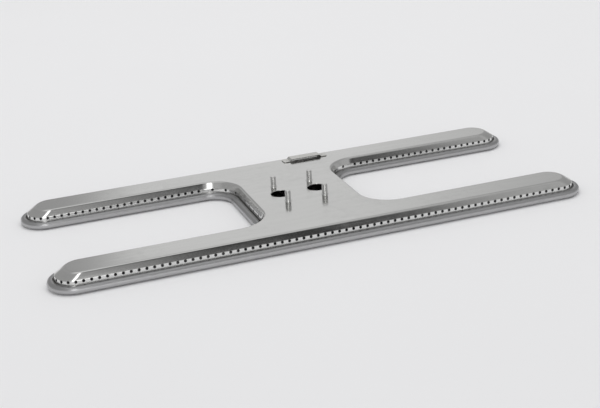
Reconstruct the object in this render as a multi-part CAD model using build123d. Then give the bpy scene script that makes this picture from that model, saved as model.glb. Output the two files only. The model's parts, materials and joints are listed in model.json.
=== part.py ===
"""Stamped stainless H burner, lying with its inlet side up.

Two pressed sheet shells are joined by a rolled seam: the burner shell carries the gas ports, the two inlets
and their studs, and the cover shell is the shallow pan that its skirt stands in. All sizes are millimetres.
The origin is the middle of the burner on the surface it lies on, +X runs along the legs, +Y towards the leg
with the bracket strap and +Z up. Every outline is the same H, grown or shrunk from the line of the port wall.
"""
from build123d import *
import math
import os

# Driving dimensions of the H, over the rolled rim
overall_length = 547.0
overall_width = 220.0
leg_width = 50.6
crossbar_width = 122.6
corner_radius = 30.0          # inner corners between legs and crossbar, at the port wall

# Pressed sheet
sheet = 0.9
land_height = 17.7            # flat top of the burner shell above the resting surface
land_inset = 3.0              # the wall leans in by this much from the port band to the land
ramp_run = 7.0                # extra run of the sloping ends of the legs
land_round = 3.0              # outside radius where the wall turns into the land
band_top = 11.6               # upper edge of the upright band that holds the ports

# Rolled seam between the shells
rim_reach = 6.7               # the rim stands out from the port wall by this much
hem_height = 7.4
hem_top_radius = 3.2
hem_bottom_radius = 3.0
lip_gap = 1.3                 # groove between the port wall and the edge of the rolled lip
lip_edge_radius = 0.4
seam_clearance = 0.1          # between the skirt and the cover that is rolled around it

# Gas ports
port_diameter = 2.8
port_pitch = 7.25
port_height = 9.9
first_port_from_corner = 4.4  # from the end of an inner corner to the first closely spaced port
corner_pitch_factor = 2       # ports round the corners and along the crossbar are this many pitches apart

# Inlets and their studs
inlet_spacing = 39.6
inlet_diameter = 20.0
stud_spacing = 45.6
stud_diameter = 6.0
stud_length = 11.0            # above the land
stud_tip_chamfer = 0.6
stud_head_diameter = 9.5
stud_head_thickness = 1.6
stud_neck_diameter = 7.4      # plain neck, pressed into the hole through the land
stud_hole_clearance = 0.1     # radial, round the neck

# Bracket strap, a raised bridge welded near the far edge of the land
strap_centre_x = 39.2
strap_edge_margin = 6.8       # from the port wall to the strap's far edge
strap_length = 50.0
strap_width = 10.5
strap_sheet = 0.9
strap_gap = 2.1               # slot under the bridge
strap_bridge_length = 33.0
strap_ramp = 1.6
strap_corner_radius = 2.0

# Divider between the two inlet chambers
divider_clearance = 0.3
divider_foot_width = 9.0
divider_foot_margin = 14.0    # the foot stops this far short of the port walls

# Values that follow from the driving dimensions
wall_y = overall_width / 2 - rim_reach
inner_wall_y = overall_width / 2 - leg_width + rim_reach
bar_wall_x = crossbar_width / 2 - rim_reach
tip_radius = (wall_y - inner_wall_y) / 2
leg_centre_y = (wall_y + inner_wall_y) / 2
tip_x = overall_length / 2 - rim_reach - tip_radius
skirt_offset = rim_reach - sheet - seam_clearance
shoulder_height = hem_height - sheet - seam_clearance
skirt_foot = hem_bottom_radius + seam_clearance
land_underside = land_height - sheet
wall_angle = math.atan2(land_height - band_top, land_inset)
inner_band_top = band_top - sheet * math.tan((math.pi / 2 - wall_angle) / 2)


def h_face(offset, height, ramp=0.0):
    """H-shaped face at a height, grown by offset from the port wall, its leg ends drawn in by ramp."""
    end_x = tip_x - ramp
    end_radius = tip_radius + offset
    outer_y = wall_y + offset
    inner_y = inner_wall_y - offset
    bar_x = bar_wall_x + offset
    corner = corner_radius - offset
    corner_x = bar_x + corner
    corner_y = inner_y - corner
    half = [
        Line((-end_x, -outer_y), (end_x, -outer_y)),
        CenterArc((end_x, -leg_centre_y), end_radius, -90, 180),
        Line((end_x, -inner_y), (corner_x, -inner_y)),
        CenterArc((corner_x, -corner_y), corner, 270, -90),
        Line((bar_x, -corner_y), (bar_x, corner_y)),
        CenterArc((corner_x, corner_y), corner, 180, -90),
        Line((corner_x, inner_y), (end_x, inner_y)),
        CenterArc((end_x, leg_centre_y), end_radius, -90, 180),
    ]
    other_half = [Rot(0, 0, 180) * edge for edge in half]
    return Pos(0, 0, height) * Face(Wire(half + other_half))


def slab(offset, low, high):
    """Upright H-shaped slab between two heights."""
    return extrude(h_face(offset, low), high - low)


def top_edges(solid):
    return solid.faces().sort_by(Axis.Z)[-1].edges()


def bottom_edges(solid):
    return solid.faces().sort_by(Axis.Z)[0].edges()


def leaning_wall(offset, low, high, run):
    """H-shaped block whose walls lean in by run, and by ramp_run more at the leg ends."""
    share = (high - low) / (land_height - band_top)
    return loft([h_face(offset, low), h_face(offset - run, high, ramp_run * share)], ruled=True)


def burner_shell():
    """Port wall, land and skirt in one pressed sheet."""
    raised = slab(0, shoulder_height - sheet, band_top)
    raised += leaning_wall(0, band_top, land_height, land_inset)
    raised = fillet(top_edges(raised), land_round)
    skirt = slab(skirt_offset, skirt_foot, shoulder_height)
    skirt = fillet(top_edges(skirt), hem_top_radius - sheet - seam_clearance)
    inner_run = (land_underside - inner_band_top) / math.tan(wall_angle)
    hollow = slab(-sheet, shoulder_height - sheet, inner_band_top)
    hollow += leaning_wall(-sheet, inner_band_top, land_underside, inner_run)
    hollow = fillet(top_edges(hollow), land_round - sheet)
    skirt_hollow = slab(skirt_offset - sheet, skirt_foot, shoulder_height - sheet)
    skirt_hollow = fillet(top_edges(skirt_hollow), hem_top_radius - 2 * sheet - seam_clearance)
    shell = raised + skirt - hollow - skirt_hollow
    return shell - port_tools() - inlet_tools()


def quadrant_path():
    """Line of the port wall over a quarter of the H, from the middle of the front wall to the crossbar."""
    corner_x = bar_wall_x + corner_radius
    corner_y = inner_wall_y - corner_radius
    return Wire([
        Line((0, -wall_y), (tip_x, -wall_y)),
        CenterArc((tip_x, -leg_centre_y), tip_radius, -90, 180),
        Line((tip_x, -inner_wall_y), (corner_x, -inner_wall_y)),
        CenterArc((corner_x, -corner_y), corner_radius, 270, -90),
        Line((bar_wall_x, -corner_y), (bar_wall_x, 0)),
    ])


def spaced(start, end, pitch):
    """Distances between start and end, both left out, in equal steps as near to pitch as they divide."""
    steps = max(1, round((end - start) / pitch))
    return [start + (end - start) * step / steps for step in range(1, steps)]


def port_distances(path):
    """Distances of the ports along the quarter path, from the outer row round the tip to the crossbar."""
    outer = [(row + 0.5) * port_pitch for row in range(int(tip_x / port_pitch))]
    tip_end = tip_x + math.pi * tip_radius
    nearest_x = bar_wall_x + corner_radius + first_port_from_corner
    inner_count = int((tip_x - nearest_x) / port_pitch) + 1
    nearest = tip_end + tip_x - nearest_x
    inner = [nearest - row * port_pitch for row in range(inner_count)]
    tip = spaced(outer[-1], inner[-1], port_pitch)
    corner = spaced(nearest, path.length, corner_pitch_factor * port_pitch)
    return outer + tip + inner + corner


def port_tools():
    """Drills for all ports: four mirrored quarters, and one port in the middle of each crossbar wall."""
    path = quadrant_path()
    drill = Rot(0, 90, 0) * Cylinder(port_diameter / 2, 4 * sheet)
    tools = []
    for distance in port_distances(path):
        place = path.position_at(distance, position_mode=PositionMode.LENGTH)
        along = path.tangent_at(distance, position_mode=PositionMode.LENGTH)
        outward = math.degrees(math.atan2(-along.X, along.Y))
        for x_sign in (1, -1):
            turn = outward if x_sign > 0 else 180 - outward
            for y_sign in (1, -1):
                spot = Pos(x_sign * place.X, y_sign * place.Y, port_height)
                tools.append(spot * Rot(0, 0, y_sign * turn) * drill)
    for x_sign in (1, -1):
        tools.append(Pos(x_sign * bar_wall_x, 0, port_height) * drill)
    return tools


def inlet_tools():
    """Cutters for the two inlets and the four stud holes through the land."""
    tools = []
    depth = 4 * sheet
    for x_sign in (1, -1):
        x = x_sign * inlet_spacing / 2
        tools.append(Pos(x, 0, land_height) * Cylinder(inlet_diameter / 2, depth))
        for y_sign in (1, -1):
            hole = Cylinder(stud_neck_diameter / 2 + stud_hole_clearance, depth)
            tools.append(Pos(x, y_sign * stud_spacing / 2, land_height) * hole)
    return tools


def cover_shell():
    """Shallow pan with its edge rolled over the burner shell's shoulder."""
    pan = slab(rim_reach, 0, hem_height)
    pan = fillet(top_edges(pan), hem_top_radius)
    pan = fillet(bottom_edges(pan), hem_bottom_radius)
    hollow = slab(rim_reach - sheet, sheet, hem_height - sheet)
    hollow = fillet(top_edges(hollow), hem_top_radius - sheet)
    hollow = fillet(bottom_edges(hollow), hem_bottom_radius - sheet)
    mouth = slab(lip_gap, hem_height / 2, hem_height + sheet)
    pan = pan - hollow - mouth
    lip_edges = pan.faces().filter_by(Axis.Z).sort_by(Axis.Z)[-1].inner_wires()[0].edges()
    return fillet(lip_edges, lip_edge_radius)


def rod(diameter, length, foot):
    """Upright round bar standing at a height."""
    return Pos(0, 0, foot) * Cylinder(diameter / 2, length, align=(Align.CENTER, Align.CENTER, Align.MIN))


def stud():
    """Weld stud: a head under the land, a neck through it and a shank above, drawn with the land at zero."""
    head = rod(stud_head_diameter, stud_head_thickness, -sheet - stud_head_thickness)
    neck = rod(stud_neck_diameter, sheet, -sheet)
    shank = rod(stud_diameter, stud_length, 0)
    shank = chamfer(top_edges(shank), stud_tip_chamfer)
    return head + neck + shank


def bracket_strap():
    """Bridge bent from strip: two flat welded tabs, two short ramps and a raised middle."""
    half_bridge = strap_bridge_length / 2
    half_length = strap_length / 2
    rise = strap_gap + strap_sheet
    lower = [
        (-half_length, 0),
        (-half_bridge - strap_ramp, 0),
        (-half_bridge, strap_gap),
        (half_bridge, strap_gap),
        (half_bridge + strap_ramp, 0),
        (half_length, 0),
    ]
    bend = strap_sheet * math.tan(math.atan2(strap_gap, strap_ramp) / 2)
    upper = [
        (half_length, strap_sheet),
        (half_bridge + strap_ramp + bend, strap_sheet),
        (half_bridge + bend, rise),
        (-half_bridge - bend, rise),
        (-half_bridge - strap_ramp - bend, strap_sheet),
        (-half_length, strap_sheet),
    ]
    side = Plane.XZ * make_face(Polyline(*lower, *upper, close=True))
    strap = extrude(side, strap_width / 2, both=True)
    ends = strap.edges().filter_by(Axis.Z).group_by(Axis.X)
    strap = fillet(ends[0] + ends[-1], strap_corner_radius)
    strap_y = wall_y - strap_edge_margin - strap_width / 2
    return Pos(strap_centre_x, strap_y, land_height) * strap


def centre_divider():
    """Upright web across the crossbar with a welded foot on the cover, keeping the two inlets' gas apart."""
    skirt_y = wall_y + skirt_offset - hem_bottom_radius
    band_y = wall_y - sheet - divider_clearance
    lean = (land_underside - inner_band_top) / math.tan(wall_angle)
    top_y = band_y - lean - land_round + sheet
    step = shoulder_height - sheet - divider_clearance
    top = land_underside - divider_clearance
    right = [(skirt_y, sheet), (skirt_y, step), (band_y, step), (band_y, inner_band_top), (top_y, top)]
    left = [(-y, z) for y, z in reversed(right)]
    web = extrude(Plane.YZ * make_face(Polyline(*right, *left, close=True)), sheet / 2, both=True)
    foot_length = 2 * (wall_y - divider_foot_margin)
    foot = Pos(0, 0, sheet) * Box(
        divider_foot_width, foot_length, sheet, align=(Align.MIN, Align.CENTER, Align.MIN)
    )
    return web + foot


def main():
    os.makedirs("parts", exist_ok=True)
    nodes = {
        "burner_shell": burner_shell(),
        "cover_shell": cover_shell(),
        "centre_divider": centre_divider(),
        "bracket_strap": bracket_strap(),
    }
    for x_name, x_sign in (("left", -1), ("right", 1)):
        for y_name, y_sign in (("front", -1), ("rear", 1)):
            place = Pos(x_sign * inlet_spacing / 2, y_sign * stud_spacing / 2, land_height)
            nodes[f"stud_{x_name}_{y_name}"] = place * stud()
    for name, solid in nodes.items():
        export_step(solid, f"parts/{name}.step")


main()
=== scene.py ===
"""Looks of a stamped stainless H burner, lying with its inlet side up.

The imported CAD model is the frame: every piece below takes its place from it. The two pressed shells, the
studs and the bracket strap are drawn again as fine surfaces with the bends, rolled edges, threads and weld
marks that the frame leaves out, and every piece gets a procedural steel finish. All lengths are in metres.
"""
import json
import logging
import math
from dataclasses import dataclass, field
from enum import Enum

import bpy
import numpy as np
from mathutils import Matrix, Vector
from mathutils.geometry import tessellate_polygon


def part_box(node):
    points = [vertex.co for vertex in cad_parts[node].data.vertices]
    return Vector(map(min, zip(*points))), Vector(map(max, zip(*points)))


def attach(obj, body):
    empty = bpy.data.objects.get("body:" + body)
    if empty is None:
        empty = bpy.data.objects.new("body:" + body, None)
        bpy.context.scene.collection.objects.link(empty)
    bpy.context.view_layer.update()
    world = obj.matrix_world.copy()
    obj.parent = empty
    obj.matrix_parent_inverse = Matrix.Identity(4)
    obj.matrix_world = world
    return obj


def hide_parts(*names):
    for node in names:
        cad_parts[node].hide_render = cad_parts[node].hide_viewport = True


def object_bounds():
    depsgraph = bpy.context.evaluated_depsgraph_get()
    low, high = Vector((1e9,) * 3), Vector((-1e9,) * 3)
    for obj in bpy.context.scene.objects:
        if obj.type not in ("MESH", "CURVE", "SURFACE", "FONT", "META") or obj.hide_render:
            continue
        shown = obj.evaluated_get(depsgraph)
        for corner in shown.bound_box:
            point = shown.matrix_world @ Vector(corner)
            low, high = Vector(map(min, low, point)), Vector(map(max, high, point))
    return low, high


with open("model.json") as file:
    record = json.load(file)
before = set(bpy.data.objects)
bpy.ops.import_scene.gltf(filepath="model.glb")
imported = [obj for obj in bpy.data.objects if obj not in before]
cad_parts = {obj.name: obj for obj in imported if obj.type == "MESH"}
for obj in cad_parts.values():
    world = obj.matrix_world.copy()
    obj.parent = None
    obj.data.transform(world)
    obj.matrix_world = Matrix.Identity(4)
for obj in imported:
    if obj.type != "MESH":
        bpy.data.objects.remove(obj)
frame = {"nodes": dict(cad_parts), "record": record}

CAD_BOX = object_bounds()
MM = 0.001
# Distances that are nearer than this are one, and they are compared to this many decimals.
NEAR = 1e-6
DECIMALS = 9
# A port's cell is this many faces wide and high, and its border has four times as many points.
CELL = 4
WHITE = (1.0, 1.0, 1.0)

Array = np.ndarray
Triple = tuple[float, float, float]
Tint = Triple
Span = tuple[float, float]
Profile = list[Triple]
Piece = bpy.types.Object
Material = bpy.types.Material
Tree = bpy.types.NodeTree
Node = bpy.types.Node
Socket = bpy.types.NodeSocket

log = logging.getLogger("burner")


class Side(Enum):
    """Which half of the burner something stands on, as the sign of its X."""

    LEFT = -1
    RIGHT = 1


class Edge(Enum):
    """Which stud of a pair, as the sign of its Y."""

    FRONT = -1
    REAR = 1


class Facing(Enum):
    """Which way the faces of a flat area look, as the sign of their Z."""

    UP = 1
    DOWN = -1


# ---------------------------------------------------------------------------------------------------------
# Shapes
# ---------------------------------------------------------------------------------------------------------


@dataclass(frozen=True)
class Outline:
    """The H that both shells share, drawn by the line of the port wall and grown or shrunk from it."""

    length: float
    width: float
    rim_reach: float = 6.7 * MM
    leg_width: float = 50.6 * MM
    crossbar_width: float = 122.6 * MM
    corner_radius: float = 30.0 * MM

    @property
    def wall_y(self) -> float:
        """Distance of the outer port wall from the middle."""
        return self.width / 2 - self.rim_reach

    @property
    def inner_wall_y(self) -> float:
        """Distance of a leg's inner port wall from the middle."""
        return self.width / 2 - self.leg_width + self.rim_reach

    @property
    def bar_x(self) -> float:
        """Distance of the crossbar's port wall from the middle."""
        return self.crossbar_width / 2 - self.rim_reach

    @property
    def tip_radius(self) -> float:
        """Radius of the port wall round the end of a leg."""
        return (self.wall_y - self.inner_wall_y) / 2

    @property
    def leg_y(self) -> float:
        """Distance of a leg's middle line from the middle."""
        return (self.wall_y + self.inner_wall_y) / 2

    @property
    def tip_x(self) -> float:
        """Where the straight walls end and the leg ends start to turn."""
        return self.length / 2 - self.rim_reach - self.tip_radius

    @property
    def corner_x(self) -> float:
        """X of the inner corner's centre."""
        return self.bar_x + self.corner_radius

    @property
    def corner_y(self) -> float:
        """Distance of the inner corner's centre from the middle line."""
        return self.inner_wall_y - self.corner_radius

    @property
    def ends(self) -> Array:
        """Distances along a quarter at which its five stretches end."""
        stretches = [
            self.tip_x,
            math.pi * self.tip_radius,
            self.tip_x - self.corner_x,
            math.pi / 2 * self.corner_radius,
            self.corner_y,
        ]
        return np.cumsum(stretches)

    @property
    def quarter(self) -> float:
        """Length of the wall from the middle of the front to the middle of the crossbar wall."""
        return float(self.ends[-1])

    def fold(self, distance: Array) -> tuple[Array, Array, Array]:
        """Folds distances round the whole H into the front right quarter.

        Quarters two and four run backwards, so their distance is counted from the other end.

        Args:
            distance: Distances along the port wall from the middle of the front, anticlockwise from above.

        Returns:
            Distance along the quarter, and the signs that its X and Y are mirrored by.
        """
        round_once = np.mod(distance, 4 * self.quarter)
        number = np.minimum(np.floor(round_once / self.quarter), 3)
        local = round_once - number * self.quarter
        local = np.where(number % 2 == 1, self.quarter - local, local)
        x_sign = np.where(number < 2, 1.0, -1.0)
        y_sign = np.where((number == 0) | (number == 3), 1.0, -1.0)
        return local, x_sign, y_sign

    def base(self, distance: Array) -> tuple[Array, Array, Array]:
        """Point, outward normal and ramp share of the port wall at each distance.

        Along a quarter the wall is a straight front, a half circle round the leg's end, a straight back, a
        quarter circle whose centre lies outside the metal, and half of the crossbar wall. The ramp share
        says how much of the sloping end's extra run a point takes: it grows evenly along the straights from
        nothing in the middle, or at the inner corner, to one at the leg's end.

        Args:
            distance: Distances round the whole H.

        Returns:
            Points (n, 2), unit normals (n, 2) and ramp shares (n,).
        """
        s, x_sign, y_sign = self.fold(distance)
        ends = self.ends
        tip = (s - ends[0]) / self.tip_radius - math.pi / 2
        corner = 1.5 * math.pi - (s - ends[2]) / self.corner_radius
        stretch = [s <= ends[0], s <= ends[1], s <= ends[2], s <= ends[3]]
        back_x = self.tip_x - (s - ends[1])
        x = np.select(stretch, [
            s,
            self.tip_x + self.tip_radius * np.cos(tip),
            back_x,
            self.corner_x + self.corner_radius * np.cos(corner),
        ], self.bar_x)
        y = np.select(stretch, [
            np.full_like(s, -self.wall_y),
            -self.leg_y + self.tip_radius * np.sin(tip),
            np.full_like(s, -self.inner_wall_y),
            -self.corner_y + self.corner_radius * np.sin(corner),
        ], -self.corner_y + (s - ends[3]))
        normal_x = np.select(stretch, [0.0 * s, np.cos(tip), 0.0 * s, -np.cos(corner)], 1.0)
        normal_y = np.select(stretch, [0.0 * s - 1, np.sin(tip), 0.0 * s + 1, -np.sin(corner)], 0.0)
        share = np.select(stretch[:3], [
            s / self.tip_x,
            np.ones_like(s),
            (back_x - self.corner_x) / (self.tip_x - self.corner_x),
        ], 0.0)
        point = np.stack([x * x_sign, y * y_sign], axis=1)
        normal = np.stack([normal_x * x_sign, normal_y * y_sign], axis=1)
        return point, normal, share * x_sign

    def carry(self, distance: Array, profile: Array) -> Array:
        """Carries a profile round the H.

        A point of the result is the wall's point, moved out along the normal by the profile's offset, moved
        towards the middle along X by the profile's draw-in times the ramp share, at the profile's height.

        Args:
            distance: Distances round the H, one for each column.
            profile: Rows of (offset, draw-in, height).

        Returns:
            Points (rows, columns, 3).
        """
        point, normal, share = self.base(distance)
        offset, draw_in, height = (profile[:, k, None] for k in range(3))
        x = point[None, :, 0] + offset * normal[None, :, 0] - draw_in * share[None, :]
        y = point[None, :, 1] + offset * normal[None, :, 1]
        return np.stack([x, y, np.broadcast_to(height, x.shape)], axis=2)

    def columns(self, kept: Array, reach: float, step: float) -> Array:
        """Distances for a grid's columns: close together on the turns, and only at the ends of the straights.

        Args:
            kept: Sorted distances that have to be columns.
            reach: Half the length round a stretch's end that kept columns leave no room for another in.
            step: Longest step on a turn.

        Returns:
            Sorted distances round the whole H.
        """
        ends = np.r_[0.0, self.ends]
        marks = np.r_[ends, 2 * self.quarter - ends]
        marks = np.unique(np.round(np.r_[marks, marks + 2 * self.quarter], DECIMALS))
        marks = marks[marks < 4 * self.quarter - NEAR]
        if len(kept):
            away = np.abs(marks[:, None] - kept[None, :]).min(axis=1)
            marks = marks[away > reach]
        fixed = np.unique(np.round(np.r_[kept, marks], DECIMALS))
        following = np.r_[fixed[1:], fixed[0] + 4 * self.quarter]
        middle, _, _ = self.fold((fixed + following) / 2)
        turning = ((middle > self.ends[0]) & (middle < self.ends[1])) | (
            (middle > self.ends[2]) & (middle < self.ends[3]))
        count = np.where(turning, np.ceil((following - fixed) / step - NEAR), 1).astype(int)
        start = np.repeat(fixed, count)
        size = np.repeat((following - fixed) / count, count)
        number = np.arange(count.sum()) - np.repeat(np.cumsum(count) - count, count)
        return start + number * size


@dataclass
class Skin:
    """Points and faces of one piece while it is put together."""

    points: list[Array] = field(default_factory=list)
    wear: list[Array] = field(default_factory=list)
    faces: list[Array] = field(default_factory=list)
    count: int = 0

    def add(self, points: Array, wear: Array | float = 0.0) -> int:
        """Adds points with their wear, from 0 to 1: rubbed over one half, painted shade under it. Returns the
        index of the first.
        """
        flat = points.reshape(-1, 3)
        first = self.count
        self.points.append(flat)
        self.wear.append(np.broadcast_to(wear, len(flat)).astype(float))
        self.count += len(flat)
        return first

    def cover(self, faces: Array) -> None:
        """Adds faces, one in each row."""
        self.faces.append(faces.reshape(-1, faces.shape[-1]))

    def fill(self, rings: list[Array], facing: Facing) -> None:
        """Fills the flat area between an outer ring of points and the rings inside it.

        Args:
            rings: Indices of the points of each ring, the outer one first.
            facing: Which way the faces look.
        """
        points = np.concatenate(self.points)
        loops = [[Vector(p) for p in points[ring].tolist()] for ring in rings]
        triangles = np.concatenate(rings)[np.array(tessellate_polygon(loops))]
        a, b, c = (points[triangles[:, k], :2] for k in range(3))
        area = (b - a)[:, 0] * (c - a)[:, 1] - (b - a)[:, 1] * (c - a)[:, 0]
        wrong = area * facing.value < 0
        triangles[wrong] = triangles[wrong][:, ::-1]
        self.cover(triangles)

    def piece(self, name: str, crease: float = 35.0) -> Piece:
        """Makes the mesh object: unused points are left out, and edges sharper than the crease stay sharp.

        Args:
            name: Name of the piece.
            crease: Angle in degrees between two faces from which their edge is sharp.

        Returns:
            The new object, at the origin.
        """
        used = np.unique(np.concatenate([f.ravel() for f in self.faces]))
        place = np.zeros(self.count, int)
        place[used] = np.arange(len(used))
        mesh = bpy.data.meshes.new(name)
        rows = [row for f in self.faces for row in place[f].tolist()]
        mesh.from_pydata(np.concatenate(self.points)[used].tolist(), [], rows)
        # The wear attribute: rubbed above one half, painted shade below it.
        layer = mesh.attributes.new("wear", "FLOAT", "POINT")
        layer.data.foreach_set("value", np.concatenate(self.wear)[used].astype(np.float32))
        mesh.shade_smooth()
        mesh.set_sharp_from_angle(angle=math.radians(crease))
        mesh.update()
        made = bpy.data.objects.new(name, mesh)
        bpy.context.scene.collection.objects.link(made)
        return made


def grid(first: int, rows: int, columns: int) -> Array:
    """Quads of a grid of points, row after row, whose last column joins the first.

    The face at (row, column) joins it to the next row first, so faces look outward where rows run down the
    outside and columns run anticlockwise seen from above.

    Args:
        first: Index of the grid's first point.
        rows: Number of rows.
        columns: Number of columns.

    Returns:
        Indices (rows - 1, columns, 4).
    """
    row = np.arange(rows - 1)[:, None]
    column = np.arange(columns)[None, :]
    after = (column + 1) % columns
    here = first + row * columns
    there = here + columns
    return np.stack([here + column, there + column, there + after, here + after], axis=2)


def circles(middle: Array, radii: Array, heights: Array, sides: int) -> Array:
    """Points of level circles round one upright line.

    A point is the middle plus the radius times the cosine and sine of its angle.

    Args:
        middle: X and Y of the line.
        radii: Radius of each circle.
        heights: Height of each circle.
        sides: Number of points of a circle.

    Returns:
        Points (circles, sides, 3).
    """
    angle = np.linspace(0, 2 * np.pi, sides, endpoint=False)
    x = middle[0] + radii[:, None] * np.cos(angle)[None, :]
    y = middle[1] + radii[:, None] * np.sin(angle)[None, :]
    return np.stack([x, y, np.broadcast_to(heights[:, None], x.shape)], axis=2)


def arc(centre: tuple[float, float], radius: float, start: float, end: float, steps: int) -> Profile:
    """Profile points on an arc, as (offset, 0, height), from the angle start to the angle end in degrees."""
    angle = np.radians(np.linspace(start, end, steps + 1))
    offset = centre[0] + radius * np.cos(angle)
    height = centre[1] + radius * np.sin(angle)
    return [(float(o), 0.0, float(z)) for o, z in zip(offset, height)]


def bend(a: Array, corner: Array, b: Array, steps: int) -> Profile:
    """Profile points on the parabola that leaves a and reaches b along the lines through the corner."""
    t = np.linspace(0, 1, steps + 1)[:, None]
    curve = (1 - t) ** 2 * a + 2 * t * (1 - t) * corner + t ** 2 * b
    return [tuple(map(float, row)) for row in curve]


def smooth_step(value: Array, low: float, high: float) -> Array:
    """Zero below low, one above high, and the cubic 3t^2 - 2t^3 between them."""
    t = np.clip((value - low) / (high - low), 0, 1)
    return t * t * (3 - 2 * t)


def node_sizes(name: str) -> tuple[Array, Array]:
    """Middle and size of a CAD node's box."""
    low, high = (np.array(corner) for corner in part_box(name))
    return (low + high) / 2, high - low


# ---------------------------------------------------------------------------------------------------------
# Finishes
# ---------------------------------------------------------------------------------------------------------


# A Mix node has a set of sockets for each type of data: these are its factor, both colours and the result.
COLOUR_MIX_INPUTS = (0, 6, 7)
COLOUR_MIX_OUTPUT = 2


def opaque(tint: Tint, times: float = 1.0) -> tuple[float, float, float, float]:
    """A colour times a factor, with full alpha."""
    return tuple(times * part for part in tint) + (1.0,)


class NodeBook:
    """Writes shader nodes and links in one node tree."""

    def __init__(self, tree: Tree) -> None:
        """Starts with an empty tree."""
        self.tree = tree
        tree.nodes.clear()

    def node(self, kind: str, **settings: object) -> Node:
        """Adds a node of a kind and sets its properties."""
        made = self.tree.nodes.new(kind)
        for key, value in settings.items():
            setattr(made, key, value)
        return made

    def feed(self, node: Node, socket: str | int, value: object) -> None:
        """Links an output socket into an input, or sets the input's own value."""
        if isinstance(value, Socket):
            self.tree.links.new(value, node.inputs[socket])
        else:
            node.inputs[socket].default_value = value

    def maths(self, operation: str, *values: object) -> Socket:
        """Result of a Math node."""
        made = self.node("ShaderNodeMath", operation=operation)
        for number, value in enumerate(values):
            self.feed(made, number, value)
        return made.outputs[0]

    def scaled(self, vector: Socket, factors: Triple) -> Socket:
        """A vector times three factors, which stretches what is drawn with it."""
        made = self.node("ShaderNodeVectorMath", operation="MULTIPLY")
        self.feed(made, 0, vector)
        self.feed(made, 1, factors)
        return made.outputs[0]

    def noise(self, vector: Socket, scale: float, detail: float) -> Socket:
        """Noise from 0 to 1 at a vector."""
        made = self.node("ShaderNodeTexNoise", noise_dimensions="3D")
        self.feed(made, "Vector", vector)
        self.feed(made, "Scale", scale)
        self.feed(made, "Detail", detail)
        return made.outputs["Fac"]

    def between(self, value: object, span: Span, to: Span) -> Socket:
        """Value carried from one span to another and held at its ends."""
        made = self.node("ShaderNodeMapRange", clamp=True)
        sockets = ("Value", "From Min", "From Max", "To Min", "To Max")
        for socket, given in zip(sockets, (value, *span, *to)):
            self.feed(made, socket, given)
        return made.outputs["Result"]

    def blend(self, share: object, a: object, b: object) -> Socket:
        """Colour that goes from a to b as the share goes from 0 to 1."""
        made = self.node("ShaderNodeMix", data_type="RGBA")
        for socket, given in zip(COLOUR_MIX_INPUTS, (share, a, b)):
            self.feed(made, socket, given)
        return made.outputs[COLOUR_MIX_OUTPUT]


@dataclass(frozen=True)
class Effect:
    """A shared effect: a shader node group with named inputs and outputs."""

    name: str
    inputs: tuple[tuple[str, str, float], ...]
    outputs: tuple[str, ...]

    def start(self) -> tuple[NodeBook, Node, Node]:
        """Makes the group's tree with its sockets.

        Returns:
            The book to write in, the input node and the output node.
        """
        tree = bpy.data.node_groups.new(self.name, "ShaderNodeTree")
        for name, kind, value in self.inputs:
            socket = tree.interface.new_socket(name=name, in_out="INPUT", socket_type=kind)
            if kind == "NodeSocketFloat":
                socket.default_value = value
        for name in self.outputs:
            tree.interface.new_socket(name=name, in_out="OUTPUT", socket_type="NodeSocketFloat")
        book = NodeBook(tree)
        return book, book.node("NodeGroupInput"), book.node("NodeGroupOutput")


def rolled_grain() -> Tree:
    """Fine straight lines that the rolling mill leaves along X.

    Noise stretched along X, once for fine lines and once for wider bands; Height is their sum and Streak
    their wide part, both times the strength.

    Returns:
        The group's tree.
    """
    line_scale, line_stretch = 2600.0, (0.035, 1.0, 1.0)
    band_scale, band_stretch = 260.0, (0.05, 1.0, 1.0)
    effect = Effect(
        "rolled_grain",
        (("Place", "NodeSocketVector", 0.0), ("Strength", "NodeSocketFloat", 1.0)),
        ("Height", "Streak"),
    )
    book, given, made = effect.start()
    fine = book.noise(book.scaled(given.outputs["Place"], line_stretch), line_scale, detail=3.0)
    wide = book.noise(book.scaled(given.outputs["Place"], band_stretch), band_scale, detail=4.0)
    both = book.maths("ADD", fine, wide)
    book.feed(made, "Height", book.maths("MULTIPLY", both, given.outputs["Strength"]))
    streak = book.maths("MULTIPLY", book.maths("SUBTRACT", wide, 0.5), given.outputs["Strength"])
    book.feed(made, "Streak", streak)
    return book.tree


def handling_marks() -> Tree:
    """Soft smudges and faint wiping marks from handling.

    Smudge is broad noise times finer noise, kept where it is strong. Wipe is a broad, slow change that lets
    wide parts of a sheet differ a little in gloss.

    Returns:
        The group's tree.
    """
    effect = Effect(
        "handling_marks",
        (("Place", "NodeSocketVector", 0.0), ("Amount", "NodeSocketFloat", 1.0)),
        ("Smudge", "Wipe"),
    )
    broad_scale, fine_scale, wipe_scale = 22.0, 140.0, 9.0
    smudge_span = (0.24, 0.42)
    book, given, made = effect.start()
    broad = book.noise(given.outputs["Place"], broad_scale, detail=3.0)
    fine = book.noise(given.outputs["Place"], fine_scale, detail=5.0)
    mixed = book.maths("MULTIPLY", broad, fine)
    smudge = book.between(mixed, smudge_span, (0.0, 1.0))
    book.feed(made, "Smudge", book.maths("MULTIPLY", smudge, given.outputs["Amount"]))
    slow = book.noise(given.outputs["Place"], wipe_scale, detail=2.0)
    wipe = book.maths("SUBTRACT", slow, 0.5)
    book.feed(made, "Wipe", book.maths("MULTIPLY", wipe, given.outputs["Amount"]))
    return book.tree


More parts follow.
